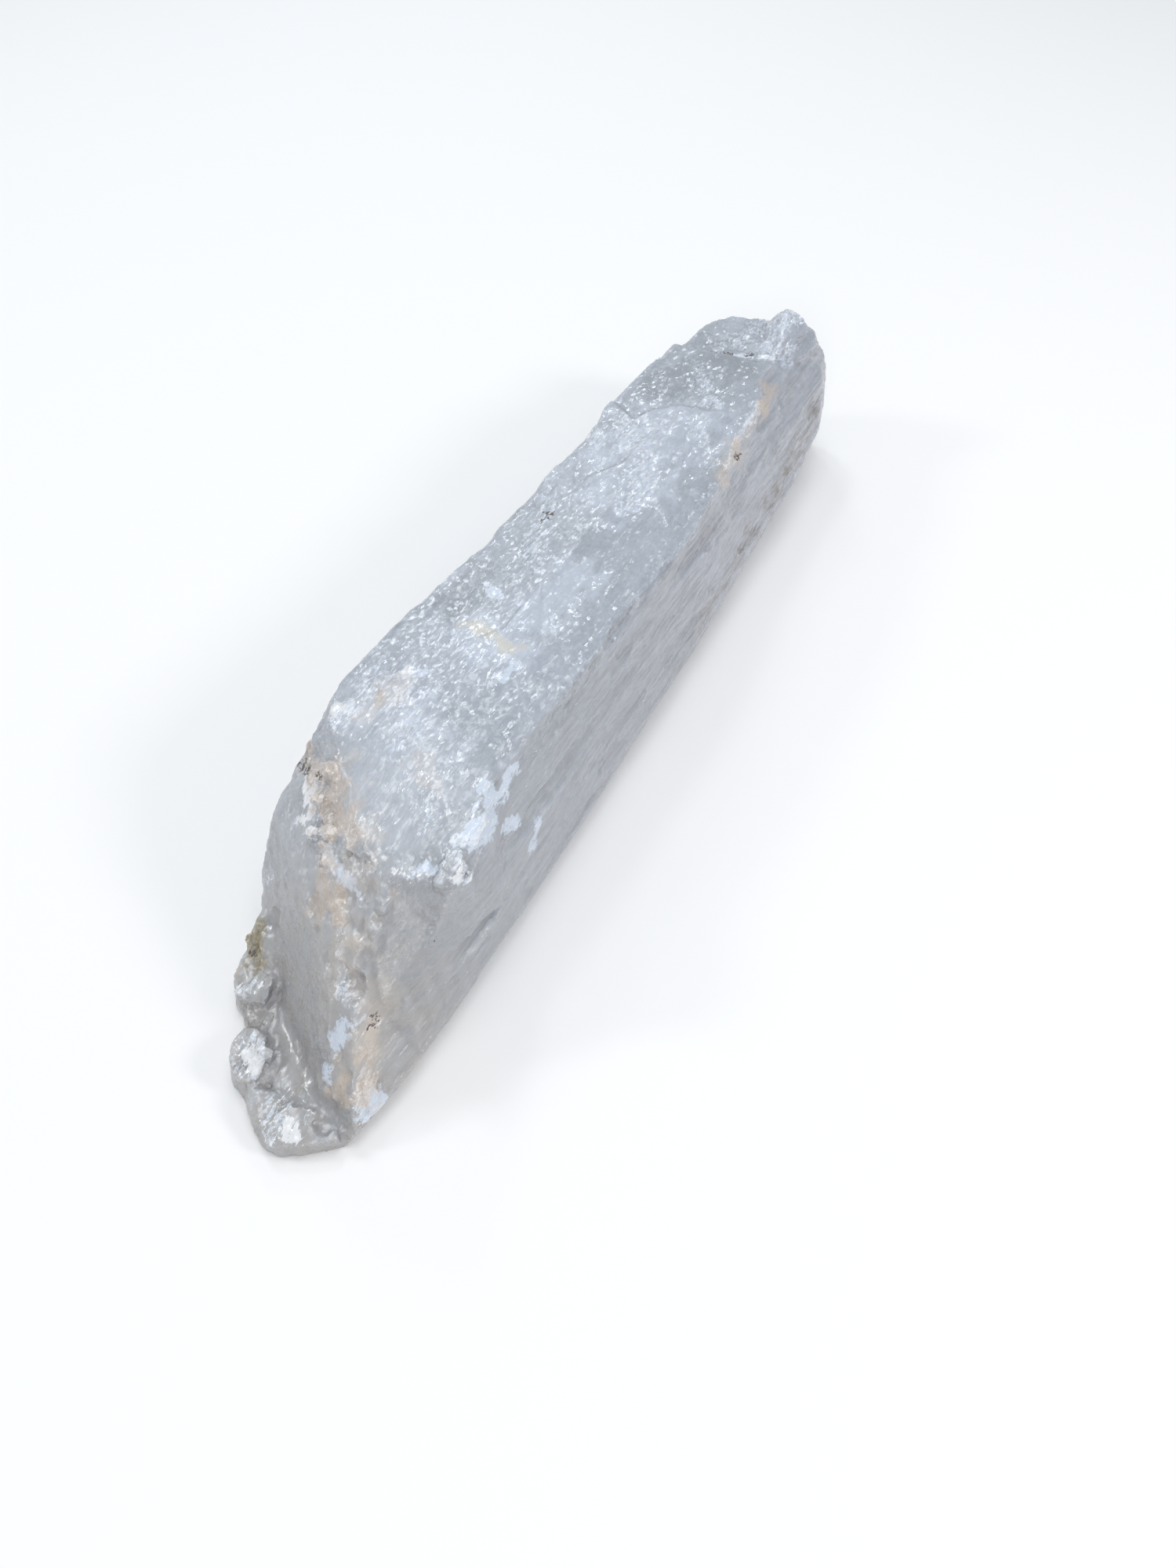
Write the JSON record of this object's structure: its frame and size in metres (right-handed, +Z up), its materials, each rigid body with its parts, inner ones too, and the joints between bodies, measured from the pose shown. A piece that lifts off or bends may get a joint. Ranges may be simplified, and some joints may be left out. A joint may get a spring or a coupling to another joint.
{
  "type": "selenite crystal",
  "caption": "Raw crystal log of milky selenite: four-sided, worn to a wedge with a low ledge at one end, broken off in a step at the other, lying on a flat face.",
  "frame": {"origin": "middle of the bounding box's bottom, on the flat underside", "axes": "+X along the log from the wedge end to the broken end, +Y to its left, +Z up from the face that it lies on"},
  "size_m": [0.2566, 0.0516, 0.04],
  "materials": {
    "selenite": "satin"
  },
  "bodies": {
    "root": {"crystal": "selenite"}
  },
  "joints": []
}
